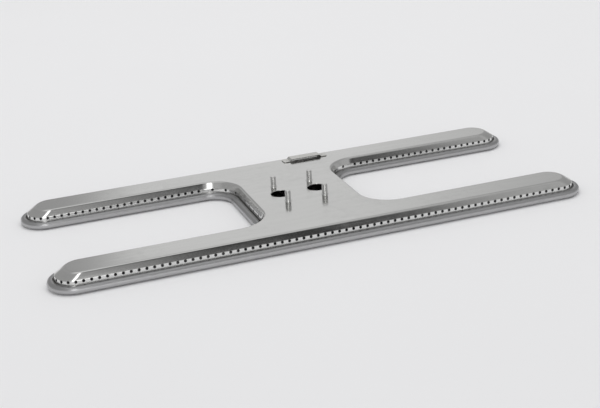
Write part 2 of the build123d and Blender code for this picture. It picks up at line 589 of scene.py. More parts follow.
def rubbed_edges() -> Tree:
    """Edges and bends burnished by the press tools, with shade painted into grooves, hollows and holes.

    The wear attribute is over one half on rubbed bends and under it where shade is painted and in weld
    stains. Noise breaks both up.

    Returns:
        The group's tree.
    """
    effect = Effect(
        "rubbed_edges",
        (("Place", "NodeSocketVector", 0.0), ("Wear", "NodeSocketFloat", 0.5)),
        ("Rubbed", "Dirt"),
    )
    breaks_scale, breaks_span, breaks_share = 320.0, (0.35, 0.65), (0.55, 1.0)
    book, given, made = effect.start()
    noise = book.noise(given.outputs["Place"], breaks_scale, detail=4.0)
    broken = book.between(noise, breaks_span, breaks_share)
    rubbed = book.between(given.outputs["Wear"], (0.5, 1.0), (0.0, 1.0))
    book.feed(made, "Rubbed", book.maths("MULTIPLY", rubbed, broken))
    # Painted shade: darkens grooves, hollows, hole walls, the shell's inside and the strap's underside, and
    # stains weld dimples.
    shade_and_stain = book.between(given.outputs["Wear"], (0.0, 0.5), (1.0, 0.0))
    book.feed(made, "Dirt", book.maths("MULTIPLY", shade_and_stain, broken))
    return book.tree


@dataclass(frozen=True)
class Effects:
    """The node groups that all finishes share."""

    grain: Tree
    marks: Tree
    edges: Tree


@dataclass(frozen=True)
class Steel:
    """A bare steel finish."""

    name: str
    tint: Tint
    # Colour of the shade painted into grooves, hollows and holes, and of weld stains.
    shade_and_stain_tint: Tint = (0.20, 0.19, 0.18)
    roughness: float = 0.2
    rubbed_roughness: float = 0.14
    grain: float = 1.0
    grain_depth: float = 0.002 * MM
    marks: float = 1.0
    wear_and_shade_attribute: bool = True
    plain_wear: float = 0.5
    smudge_shade: float = 0.93
    rubbed_shade: float = 1.07
    smudge_share: float = 0.5
    streak_share: float = 0.5
    streak_span: float = 0.25
    smudge_roughness: float = 0.035
    wipe_roughness: float = 0.08
    streak_roughness: float = 0.10
    shade_and_stain_roughness: float = 0.35

    def material(self, effects: Effects) -> Material:
        """Writes the material's nodes.

        Args:
            effects: The shared node groups.

        Returns:
            The new material.
        """
        made = bpy.data.materials.new(self.name)
        made.use_nodes = True
        book = NodeBook(made.node_tree)
        place = book.node("ShaderNodeTexCoord").outputs["Object"]
        grain = self.placed(book, effects.grain, Place=place, Strength=self.grain)
        marks = self.placed(book, effects.marks, Place=place, Amount=self.marks)
        wear = self.plain_wear
        if self.wear_and_shade_attribute:
            wear = book.node("ShaderNodeAttribute", attribute_name="wear").outputs["Fac"]
        edges = self.placed(book, effects.edges, Place=place, Wear=wear)
        shader = book.node("ShaderNodeBsdfPrincipled")
        output = book.node("ShaderNodeOutputMaterial")
        book.feed(output, "Surface", shader.outputs[0])
        book.feed(shader, "Metallic", 1.0)
        book.feed(shader, "Base Color", self.colour(book, grain, marks, edges))
        book.feed(shader, "Roughness", self.gloss(book, grain, marks, edges))
        bump = book.node("ShaderNodeBump")
        book.feed(bump, "Strength", 1.0)
        book.feed(bump, "Distance", self.grain_depth)
        book.feed(bump, "Height", grain.outputs["Height"])
        book.feed(shader, "Normal", bump.outputs[0])
        return made

    def placed(self, book: NodeBook, tree: Tree, **values: object) -> Node:
        """Places a shared group in the material with this finish's values."""
        group = book.node("ShaderNodeGroup", node_tree=tree)
        for socket, value in values.items():
            book.feed(group, socket, value)
        return group

    def colour(self, book: NodeBook, grain: Node, marks: Node, edges: Node) -> Socket:
        """Base colour: darker than the tint in smudges and streaks, lighter where rubbed, painted darker as
        shade in grooves and hollows, and stained at welds.

        Args:
            book: The material's nodes.
            grain: The placed rolling grain.
            marks: The placed handling marks.
            edges: The placed rubbed edges and painted shade.

        Returns:
            The colour's socket.
        """
        span = (-self.streak_span, self.streak_span)
        streak = book.between(grain.outputs["Streak"], span, (0.0, self.streak_share))
        smudge = book.maths("MULTIPLY", marks.outputs["Smudge"], self.smudge_share)
        share = book.maths("ADD", smudge, streak)
        colour = book.blend(share, opaque(self.tint), opaque(self.tint, self.smudge_shade))
        colour = book.blend(edges.outputs["Rubbed"], colour, opaque(self.tint, self.rubbed_shade))
        # Painted shade: the shade mask darkens the colour towards its tint.
        return book.blend(edges.outputs["Dirt"], colour, opaque(self.shade_and_stain_tint))

    def gloss(self, book: NodeBook, grain: Node, marks: Node, edges: Node) -> Socket:
        """Roughness: rougher in smudges, uneven along the grain, smoother where rubbed, dull in grooves.

        Args:
            book: The material's nodes.
            grain: The placed rolling grain.
            marks: The placed handling marks.
            edges: The placed rubbed edges and painted shade.

        Returns:
            The roughness's socket.
        """
        value: float | Socket = self.roughness
        for mask, change in (
            (marks.outputs["Smudge"], self.smudge_roughness),
            (marks.outputs["Wipe"], self.wipe_roughness),
            (grain.outputs["Streak"], self.streak_roughness),
            (edges.outputs["Rubbed"], self.rubbed_roughness - self.roughness),
            (edges.outputs["Dirt"], self.shade_and_stain_roughness),
        ):
            value = book.maths("MULTIPLY_ADD", mask, change, value)
        return value


# Its painted shade is near black, so the shell's inside and its port holes show dark.
SATIN = Steel("satin_stainless", (0.735, 0.735, 0.725), (0.10, 0.095, 0.09), roughness=0.145,
              rubbed_roughness=0.13)
# Painted shade: its tint is darker than the satin shell's, standing in for the darker room that the rim
# reflects.
ROLLED_PAINTED_DARK = Steel("rolled_stainless", (0.48, 0.48, 0.485), roughness=0.38, rubbed_roughness=0.34)
# Its painted shade, under the strap, is near black.
STRAP = Steel("strap_stainless", (0.72, 0.715, 0.69), (0.05, 0.045, 0.04), roughness=0.24, grain=0.8)
STUD = Steel("stud_steel", (0.80, 0.80, 0.79), roughness=0.16, grain=0.0, marks=0.6)
INSIDE = Steel("inner_sheet", (0.60, 0.60, 0.59), roughness=0.3, marks=1.2, wear_and_shade_attribute=False)


def dress(piece: Piece, material: Material) -> None:
    """Gives a piece one material in place of whatever it had."""
    piece.data.materials.clear()
    piece.data.materials.append(material)


# ---------------------------------------------------------------------------------------------------------
# Sub-assemblies
# ---------------------------------------------------------------------------------------------------------


@dataclass(frozen=True)
class Ports:
    """Row of drilled gas ports round the wall."""

    outline: Outline
    radius: float = 1.4 * MM
    height: float = 9.9 * MM
    pitch: float = 7.25 * MM
    first_from_corner: float = 4.4 * MM
    corner_pitches: int = 2
    cell_half_length: float = 1.9 * MM
    cell_half_height: float = 1.6 * MM
    edge_width: float = 0.1 * MM
    dished: float = 0.1 * MM
    band_foot: float = 7.2 * MM
    band_top: float = 11.6 * MM
    draft: float = 0.58 * MM
    knee_start: float = 10.4 * MM
    knee: float = 0.15 * MM

    def lean(self, height: Array | float) -> Array:
        """Offset of the band's face at a height.

        It leans in evenly by the draft from its foot to its top, and from the knee's start on by the knee
        times the square of the share of the way to the top.
        """
        share = np.clip((height - self.band_foot) / (self.band_top - self.band_foot), 0.0, 1.0)
        turn = np.clip((height - self.knee_start) / (self.band_top - self.knee_start), 0.0, 1.0)
        return -self.draft * share - self.knee * turn ** 2

    def evenly(self, start: float, end: float, pitch: float) -> Array:
        """Distances between start and end, both left out, in equal steps as near to the pitch as can be."""
        steps = max(1, round((end - start) / pitch))
        return np.linspace(start, end, steps + 1)[1:-1]

    def quarter_distances(self) -> Array:
        """Port distances along a quarter: outer row, tip, inner row, then wider apart round the corner."""
        h = self.outline
        outer = (np.arange(int(h.tip_x / self.pitch)) + 0.5) * self.pitch
        nearest_x = h.corner_x + self.first_from_corner
        count = int((h.tip_x - nearest_x) / self.pitch) + 1
        nearest = h.ends[1] + h.tip_x - nearest_x
        inner = nearest - np.arange(count)[::-1] * self.pitch
        tip = self.evenly(outer[-1], inner[0], self.pitch)
        corner = self.evenly(nearest, h.quarter, self.corner_pitches * self.pitch)
        return np.r_[outer, tip, inner, corner]

    def distances(self) -> Array:
        """Sorted distances of all ports round the H, with one in the middle of each crossbar wall."""
        one = self.quarter_distances()
        q = self.outline.quarter
        return np.sort(np.r_[one, 2 * q - one, 2 * q + one, 4 * q - one, q, 3 * q])

    def cell(self) -> Array:
        """Steps from a port's middle to the columns, or rows, that its cell is cut from, as shares."""
        return np.linspace(-1, 1, CELL + 1)

    def columns(self, step: float) -> tuple[Array, Array]:
        """Columns of the wall's grid, and the number of the first column of each port's cell."""
        middles = self.distances()
        kept = (middles[:, None] + self.cell()[None, :] * self.cell_half_length).ravel()
        columns = self.outline.columns(kept, self.cell_half_length, step)
        first = np.searchsorted(columns, middles - self.cell_half_length - NEAR)
        return columns, first

    def border(self) -> tuple[Array, Array]:
        """Row and column steps of the points round a cell, anticlockwise seen from outside.

        Each is a triangle wave of the number of the point, cut off at the cell's first and last.

        Returns:
            Rows and columns from 0 to the last, starting at the last row and column.
        """
        step = np.arange(4 * CELL)
        row = np.clip(np.abs(step - CELL * 2.5) - CELL / 2, 0, CELL).astype(int)
        column = np.clip(np.abs(step - CELL * 1.5) - CELL / 2, 0, CELL).astype(int)
        return row, column

    def ring(self, radius: float, offset: float) -> Array:
        """Points of a circle round every port, on the wall moved out by an offset.

        Distance and height are the port's own plus radius times the cosine and sine of the angle, whose steps
        match the points of the cell's border.

        Args:
            radius: Radius of the circle.
            offset: How far outside the port wall's line it lies.

        Returns:
            Points (ports, points round a cell, 3).
        """
        row, column = self.border()
        angle = np.arctan2(row - CELL / 2, column - CELL / 2)
        along = self.distances()[:, None] + radius * np.cos(angle)[None, :]
        up = np.broadcast_to(self.height + radius * np.sin(angle)[None, :], along.shape)
        point, normal, _ = self.outline.base(along.ravel())
        flat = point + (offset + self.lean(up).reshape(-1, 1)) * normal
        return np.concatenate([flat, up.reshape(-1, 1)], axis=1).reshape(*along.shape, 3)


@dataclass
class BurnerShell:
    """Upper pressed shell: flat land with inlets, leaning wall, band of ports, shoulder and skirt."""

    outline: Outline
    land_height: float
    inlets: Array
    inlet_radius: float
    studs: Array
    sheet: float = 0.9 * MM
    land_inset: float = 3.0 * MM
    ramp_run: float = 7.0 * MM
    inner_band_top: float = 11.55 * MM
    shoulder_height: float = 6.4 * MM
    skirt_offset: float = 5.7 * MM
    skirt_foot: float = 3.1 * MM
    shoulder_radius: float = 2.2 * MM
    foot_radius: float = 0.8 * MM
    land_support: float = 1.9 * MM
    land_margin: float = 0.8 * MM
    wall_bend_share: float = 0.3
    knee_share: float = 0.05
    inner_wall_start: float = 0.06
    inner_bend_start: float = 0.75
    underside_support: float = 1.2 * MM
    underside_margin: float = 0.8 * MM
    inner_wear: float = 0.05
    inlet_sides: int = 72
    stud_hole_radius: float = 3.8 * MM
    stud_hole_edge: float = 0.05 * MM
    stud_hole_sides: int = 36
    hole_edge: float = 0.35 * MM
    hole_support: float = 0.3 * MM
    turn_step: float = 1.7 * MM

    @property
    def ports(self) -> Ports:
        """The row of ports in the wall."""
        return Ports(self.outline)

    def wall_point(self, share: float) -> Array:
        """Point of the leaning wall at a share of the way from the band to the land."""
        band_top = self.ports.band_top
        foot = float(self.ports.lean(band_top))
        across = self.land_inset + foot
        rise = self.land_height - band_top
        return np.array([foot - across * share, self.ramp_run * share, band_top + rise * share])

    def outer_profile(self) -> tuple[Array, int, Array]:
        """Outside of the sheet from the land down to the skirt's foot.

        Flat land, a parabola into the leaning wall, a second one into the band of ports, which leans in by
        its draft, the rows that the port cells are cut from, a hollow arc to the shoulder, a round arc to
        the skirt.

        Returns:
            Rows (offset, draw-in, height), the number of the cell's first row, and the wear of each row.
        """
        ports = self.ports
        top = ports.height + ports.cell_half_height
        corner = self.wall_point(1.0)
        inside = corner - np.array([self.land_support, 0.0, 0.0])
        rows = [tuple(inside - np.array([self.land_margin, 0.0, 0.0]))]
        rows += bend(inside, corner, self.wall_point(1 - self.wall_bend_share), 7)
        wear = [0.5] + [0.5, 0.6, 0.75, 0.85, 0.85, 0.75, 0.6, 0.5]
        knee = self.wall_point(0.0)
        band = np.array([float(ports.lean(top)), 0.0, top])
        rows += bend(self.wall_point(self.knee_share), knee, band, 4)
        wear += [0.5, 0.55, 0.6, 0.55, 0.5]
        first_cell_row = len(rows) - 1
        steps = ports.height - ports.cell()[1:] * ports.cell_half_height
        rows += [(float(ports.lean(z)), 0.0, float(z)) for z in steps]
        wear += [0.5, 0.5, 0.48, 0.45]
        # Painted shade in the hollow under the band and into the start of the shoulder.
        hollow = (self.foot_radius, self.shoulder_height + self.foot_radius)
        rows += arc(hollow, self.foot_radius, 180, 270, 3)
        wear += [0.3, 0.15, 0.05, 0.05]
        turn = (self.skirt_offset - self.shoulder_radius, self.shoulder_height - self.shoulder_radius)
        rows += arc(turn, self.shoulder_radius, 90, 0, 3)
        wear += [0.2, 0.4, 0.5, 0.5]
        rows += [(self.skirt_offset, 0.0, self.skirt_foot)]
        wear += [0.5]
        return np.array(rows), first_cell_row, np.array(wear)

    def inner_profile(self) -> tuple[Array, int]:
        """Inside of the sheet from the skirt's foot up to the land's underside, one sheet further in.

        Returns:
            Rows (offset, draw-in, height) and the number of the cell's first row.
        """
        ports = self.ports
        inner = -self.sheet
        underside = self.land_height - self.sheet
        share = (underside - self.inner_band_top) / (self.land_height - ports.band_top)
        foot = -float(ports.lean(ports.band_top))
        band = np.array([inner - foot, 0.0, self.inner_band_top])
        lean_in = (self.land_inset - foot) * share
        corner = band + np.array([-lean_in, self.ramp_run * share, underside - self.inner_band_top])
        rows = [(self.skirt_offset - self.sheet, 0.0, self.skirt_foot)]
        turn = (self.skirt_offset - self.shoulder_radius, self.shoulder_height - self.shoulder_radius)
        rows += arc(turn, self.shoulder_radius - self.sheet, 0, 90, 2)
        hollow = (self.foot_radius, self.shoulder_height + self.foot_radius)
        rows += arc(hollow, self.foot_radius + self.sheet, 270, 180, 3)
        first_cell_row = len(rows)
        steps = ports.height + ports.cell() * ports.cell_half_height
        rows += [(inner + float(ports.lean(z)), 0.0, float(z)) for z in steps]
        rows += [tuple(band + (corner - band) * self.inner_wall_start)]
        flat = corner - np.array([self.underside_support, 0.0, 0.0])
        rows += bend(band + (corner - band) * self.inner_bend_start, corner, flat, 4)
        rows += [tuple(flat - np.array([self.underside_margin, 0.0, 0.0]))]
        return np.array(rows), first_cell_row

    def build(self) -> Piece:
        """Builds the shell: one grid over both skins, port cells opened in it, and the two flat lands."""
        skin = Skin()
        ports = self.ports
        columns, starts = ports.columns(self.turn_step)
        outer, outer_cell, wear = self.outer_profile()
        inner, inner_cell = self.inner_profile()
        profile = np.concatenate([outer, inner])
        # The sheet's inside is painted dark as shade.
        wear = np.repeat(np.r_[wear, np.full(len(inner), self.inner_wear)], len(columns))
        first = skin.add(self.outline.carry(columns, profile), wear)
        quads = grid(first, len(profile), len(columns))
        kept = np.ones(quads.shape[:2], bool)
        cells = (starts[:, None] + np.arange(CELL)[None, :]).ravel() % len(columns)
        for row in (outer_cell, len(outer) + inner_cell):
            kept[row:row + CELL, cells] = False
        skin.cover(quads[kept])
        self.open_ports(skin, ports, first, starts, len(columns), outer_cell, len(outer) + inner_cell)
        self.close_lands(skin, first, len(profile), len(columns))
        return skin.piece("burner_shell_pressed")

    def open_ports(self, skin: Skin, ports: Ports, first: int, starts: Array, columns: int,
                   outer_row: int, inner_row: int) -> None:
        """Closes each port's cell with a square-to-round border, and joins both skins through the sheet.

        Args:
            skin: The shell so far.
            ports: The ports.
            first: Index of the grid's first point.
            starts: First column of each cell.
            columns: Number of columns.
            outer_row: First row of the cells on the outside, which run down.
            inner_row: First row of the cells on the inside, which run up.
        """
        row, column = ports.border()
        across = (starts[:, None] + column[None, :]) % columns
        outside = first + (outer_row + CELL - row)[None, :] * columns + across
        inside = first + (inner_row + row)[None, :] * columns + across
        rings = [outside]
        wide = ports.radius + ports.edge_width
        # Rubbed at the port's outer edge, painted shade inside each port and round it on the sheet's inside.
        for radius, offset, wear in (
            (wide, 0.0, 0.5),
            (ports.radius, -ports.dished, 0.2),
            (ports.radius, ports.dished - self.sheet, 0.0),
            (wide, -self.sheet, 0.0),
        ):
            points = ports.ring(radius, offset)
            start = skin.add(points, wear)
            rings.append(start + np.arange(points[..., 0].size).reshape(points.shape[:2]))
        rings.append(inside)
        for a, b in zip(rings, rings[1:]):
            skin.cover(np.stack([a, np.roll(a, -1, 1), np.roll(b, -1, 1), b], axis=2))

    def close_lands(self, skin: Skin, first: int, rows: int, columns: int) -> None:
        """Fills the land and its underside round the inlets and the stud holes, whose edges are rounded.

        Args:
            skin: The shell so far.
            first: Index of the grid's first point. Its first row bounds the land, its last the underside.
            rows: Number of rows of the grid.
            columns: Number of columns of the grid.
        """
        top = [first + np.arange(columns)]
        under = [first + (rows - 1) * columns + np.arange(columns)]
        inlet = (self.inlet_radius, self.hole_edge, self.inlet_sides)
        stud = (self.stud_hole_radius, self.stud_hole_edge, self.stud_hole_sides)
        holes = [(spot, *inlet) for spot in self.inlets] + [(spot, *stud) for spot in self.studs]
        for spot, radius, edge, sides in holes:
            upper, lower = self.hole(skin, spot, radius, edge, sides)
            top.append(upper)
            under.append(lower)
        skin.fill(top, Facing.UP)
        skin.fill(under, Facing.DOWN)

    def hole(self, skin: Skin, spot: Array, radius: float, edge: float, sides: int) -> tuple[Array, Array]:
        """Wall of one hole through the land, with its upper edge rounded by the punch.

        A flat ring round the rounded edge keeps the land's shading even beside it.

        Args:
            skin: The shell so far.
            spot: Middle of the hole.
            radius: Its radius.
            edge: Radius of the rounded edge.
            sides: Number of points round it.

        Returns:
            The rings of points on the land and on its underside.
        """
        turn = np.radians(np.array([0.0, 30.0, 60.0, 90.0]))
        rounded = radius + edge * (1 - np.sin(turn))
        ring_radius = np.r_[radius + edge + self.hole_support, rounded, radius]
        drop = np.r_[0.0, edge * (1 - np.cos(turn)), self.sheet]
        # Rubbed round the rounded edge, painted shade at the foot of the hole's wall.
        wear = np.repeat(np.array([0.5, 0.5, 0.75, 0.8, 0.6, 0.2]), sides)
        first = skin.add(circles(spot, ring_radius, self.land_height - drop, sides), wear)
        skin.cover(grid(first, len(drop), sides)[:, :, ::-1])
        return first + np.arange(sides), first + (len(drop) - 1) * sides + np.arange(sides)

    def dress(self, piece: Piece, material: Material) -> None:
        """Gives the shell its satin finish and its place on the frame."""
        dress(piece, material)
        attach(piece, "root")
        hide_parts("burner_shell")


@dataclass
class CoverShell:
    """Lower pressed pan whose edge is rolled over the burner shell's shoulder."""

    outline: Outline
    height: float
    weld_x: float
    foot_length: float
    weld_margin: float = 22.0 * MM
    sheet: float = 0.9 * MM
    top_radius: float = 3.2 * MM
    bottom_radius: float = 3.0 * MM
    lip_gap: float = 1.3 * MM
    lip_radius: float = 0.4 * MM
    lip_wave: float = 0.06 * MM
    lip_root: float = 3.4 * MM
    lip_waves: tuple[tuple[int, float, float], ...] = ((61, 1.0, 0.0), (37, 0.6, 1.0))
    floor_margin: float = 0.5 * MM
    turn_step: float = 1.4 * MM
    straight_step: float = 12.0 * MM
    weld_count: int = 9
    weld_radius: float = 2.6 * MM
    weld_depth: float = 0.22 * MM
    weld_flatness: float = 1.8
    weld_sides: int = 28

    def profile(self) -> tuple[Array, Array]:
        """The rolled edge as one run from the pan's inner face, up inside, over the lip and down outside.

        Returns:
            Rows (offset, 0, height) and the wear of each row.
        """
        reach = self.outline.rim_reach
        roll = (reach - self.top_radius, self.height - self.top_radius)
        foot = (reach - self.bottom_radius, self.bottom_radius)
        lip_x = self.lip_gap + self.lip_radius
        rows = [(0.0, 0.0, self.sheet)]
        rows += arc(foot, self.bottom_radius - self.sheet, -90, 0, 3)
        rows += arc(roll, self.top_radius - self.sheet, 0, 90, 3)
        rows += arc((lip_x, self.height - self.sheet + self.lip_radius), self.lip_radius, 270, 180, 3)
        rows += arc((lip_x, self.height - self.lip_radius), self.lip_radius, 180, 90, 3)
        # Painted shade under the lip's curl, in the groove; rubbed on its top.
        wear = [0.5] * 9 + [0.3] * 4 + [0.4, 0.6, 0.8, 0.8]
        rows += arc(roll, self.top_radius, 90, 0, 8)
        wear += [0.6, 0.6, 0.7, 0.8, 0.85, 0.8, 0.7, 0.6, 0.55]
        rows += arc(foot, self.bottom_radius, 0, -90, 7)
        wear += [0.5, 0.5, 0.5, 0.5, 0.55, 0.6, 0.6, 0.5]
        rows += [(self.floor_margin, 0.0, 0.0)]
        wear += [0.5]
        return np.array(rows), np.array(wear)

    def build(self) -> Piece:
        """Builds the pan: the rolled edge carried round the H, and the two flat faces of its floor.

        The lip's edge wanders in and out by a sum of sine waves along the wall, each given by its waves in a
        lap, its share and its phase, and fades to nothing at the roll, as a rolled seam does.
        """
        skin = Skin()
        columns = self.outline.columns(np.zeros(0), 0.0, self.turn_step)
        columns = self.split(columns, self.straight_step)
        profile, wear = self.profile()
        points = self.outline.carry(columns, profile)
        _, normal, _ = self.outline.base(columns)
        angle = 2 * np.pi * columns / (4 * self.outline.quarter)
        wave = sum(share * np.sin(count * angle + phase) for count, share, phase in self.lip_waves)
        near_lip = smooth_step(-profile[:, 0], -self.lip_root, -self.lip_gap)
        near_lip = near_lip * (profile[:, 2] > self.height / 2)
        points[:, :, :2] += self.lip_wave * near_lip[:, None, None] * wave[None, :, None] * normal[None, :, :]
        first = skin.add(points, np.repeat(wear, len(columns)))
        skin.cover(grid(first, len(profile), len(columns)))
        last = first + (len(profile) - 1) * len(columns)
        skin.fill([first + np.arange(len(columns))], Facing.UP)
        reach = self.foot_length / 2 - self.weld_margin
        welds = [self.weld(skin, y) for y in np.linspace(-reach, reach, self.weld_count)]
        skin.fill([last + np.arange(len(columns)), *welds], Facing.DOWN)
        return skin.piece("cover_shell_rolled")

    def split(self, columns: Array, step: float) -> Array:
        """Adds columns so that none are further apart than the step."""
        following = np.r_[columns[1:], columns[0] + 4 * self.outline.quarter]
        count = np.ceil((following - columns) / step).astype(int)
        number = np.arange(count.sum()) - np.repeat(np.cumsum(count) - count, count)
        return np.repeat(columns, count) + number * np.repeat((following - columns) / count, count)

    def weld(self, skin: Skin, y: float) -> Array:
        """Round dimple that a spot weld leaves in the underside, where the divider's foot is welded.

        Its depth is the weld's depth times (1 - (r/R)^2)^2 times the flatness, cut off at the weld's depth,
        which leaves the flat middle of the electrode. The first ring lies on the flat round it.

        Args:
            skin: The pan so far.
            y: Place of the weld across the pan.

        Returns:
            The ring of points that bounds it.
        """
        share = np.array([1.12, 1.0, 0.88, 0.74, 0.6, 0.45, 0.2])
        wear = np.array([0.5, 0.5, 0.8, 0.45, 0.35, 0.4, 0.45])
        sides = self.weld_sides
        inside = np.minimum(share, 1.0)
        depth = self.weld_depth * np.minimum((1 - inside ** 2) ** 2 * self.weld_flatness, 1.0)
        spot = np.array([self.weld_x, y])
        points = circles(spot, self.weld_radius * share, depth, sides)
        first = skin.add(points, np.repeat(wear, sides))
        skin.cover(grid(first, len(share), sides))
        middle = skin.add(np.array([[self.weld_x, y, float(depth[-1])]]), float(wear[-1]))
        inner = first + (len(share) - 1) * sides + np.arange(sides)
        skin.cover(np.stack([inner, np.full(sides, middle), np.roll(inner, -1)], axis=1))
        return first + np.arange(sides)

    def dress(self, piece: Piece, material: Material) -> None:
        """Gives the pan its rolled finish and its place on the frame."""
        dress(piece, material)
        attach(piece, "root")
        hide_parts("cover_shell")


@dataclass
class Stud:
    """Threaded stud pressed into the land, one of four."""

    side: Side
    edge: Edge
    land_height: float
    sheet: float = 0.9 * MM
    head_radius: float = 4.75 * MM
    neck_radius: float = 3.7 * MM
    thread_radius: float = 3.0 * MM
    thread_depth: float = 0.55 * MM
    thread_pitch: float = 1.0 * MM
    tip_chamfer: float = 0.6 * MM
    thread_start: float = 0.4 * MM
    thread_full: float = 1.4 * MM
    valley_slope: float = 1.25
    crest_share: float = 0.15
    shank_lift: float = 0.02 * MM
    neck_ease: float = 0.1 * MM
    neck_drop: float = 0.01 * MM
    neck_ease_drop: float = 0.08 * MM
    head_ease: float = 0.25 * MM
    valley_painted_shade: float = 0.25
    crest_wear: float = 0.85
    sides: int = 36
    rows_in_pitch: int = 8

    @property
    def node(self) -> str:
        """Name of the CAD node that this stud stands for."""
        return f"stud_{self.side.name.lower()}_{self.edge.name.lower()}"

    def thread(self, angle: Array, height: Array, top: float) -> Array:
        """Radius of the threaded shank.

        A ridge with a flat crest winds up by one pitch a turn: its profile is a triangle wave of height over
        pitch less the turn, cut off at the crest. It fades in above the land and is cut by the tip's chamfer.

        Args:
            angle: Angles round the stud.
            height: Heights.
            top: Height of the tip.

        Returns:
            Radii, of the same shape.
        """
        phase = np.mod((height - self.land_height) / self.thread_pitch - angle / (2 * np.pi), 1.0)
        wave = 1 - np.abs(2 * phase - 1)
        valley = np.clip(self.valley_slope * wave - self.crest_share, 0, 1)
        above = height - self.land_height
        fade = smooth_step(above, self.thread_start, self.thread_full)
        radius = self.thread_radius - self.thread_depth * valley * fade
        cone = self.thread_radius - self.tip_chamfer + (top - height)
        return np.minimum(radius, cone)

    def build(self) -> Piece:
        """Builds head, neck, thread and tip as one closed skin of rings between two poles."""
        middle, size = node_sizes(self.node)
        foot = middle[2] - size[2] / 2
        top = middle[2] + size[2] / 2
        angle = np.linspace(0, 2 * np.pi, self.sides, endpoint=False)
        count = int(self.rows_in_pitch * (top - self.land_height) / self.thread_pitch)
        shank = np.linspace(top, self.land_height + self.shank_lift, count)[:, None] * np.ones(self.sides)
        shank_radius = self.thread(angle[None, :], shank, top)
        underside = self.land_height - self.sheet
        soft = self.head_ease
        plain = np.array([
            (self.neck_radius - self.neck_ease, self.land_height - self.neck_drop),
            (self.neck_radius, self.land_height - self.neck_ease_drop),
            (self.neck_radius, underside),
            (self.head_radius - soft, underside),
            (self.head_radius, underside - soft),
            (self.head_radius, foot + soft),
            (self.head_radius - soft, foot),
        ])
        radius = np.concatenate([shank_radius, plain[:, :1] * np.ones(self.sides)])
        height = np.concatenate([shank, plain[:, 1:] * np.ones(self.sides)])
        x = middle[0] + radius * np.cos(angle)
        y = middle[1] + radius * np.sin(angle)
        crest = smooth_step(shank_radius, self.thread_radius - self.thread_depth, self.thread_radius)
        # Rubbed crests and painted shade in the thread's valleys.
        thread_wear_and_shade = self.valley_painted_shade + (self.crest_wear - self.valley_painted_shade) * crest
        wear = np.r_[thread_wear_and_shade.ravel(), np.full(len(plain) * self.sides, 0.5)]
        skin = Skin()
        first = skin.add(np.stack([x, y, height], axis=2), wear)
        rows = len(height)
        skin.cover(grid(first, rows, self.sides))
        poles = skin.add(np.array([[middle[0], middle[1], top], [middle[0], middle[1], foot]]), 0.6)
        upper = first + np.arange(self.sides)
        lower = first + (rows - 1) * self.sides + np.arange(self.sides)
        skin.cover(np.stack([upper, np.roll(upper, -1), np.full(self.sides, poles)], axis=1))
        skin.cover(np.stack([np.roll(lower, -1), lower, np.full(self.sides, poles + 1)], axis=1))
        return skin.piece(f"{self.node}_threaded", crease=28.0)

    def dress(self, piece: Piece, material: Material) -> None:
        """Gives the stud its steel and its place on the frame."""
        dress(piece, material)
        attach(piece, "root")
        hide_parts(self.node)


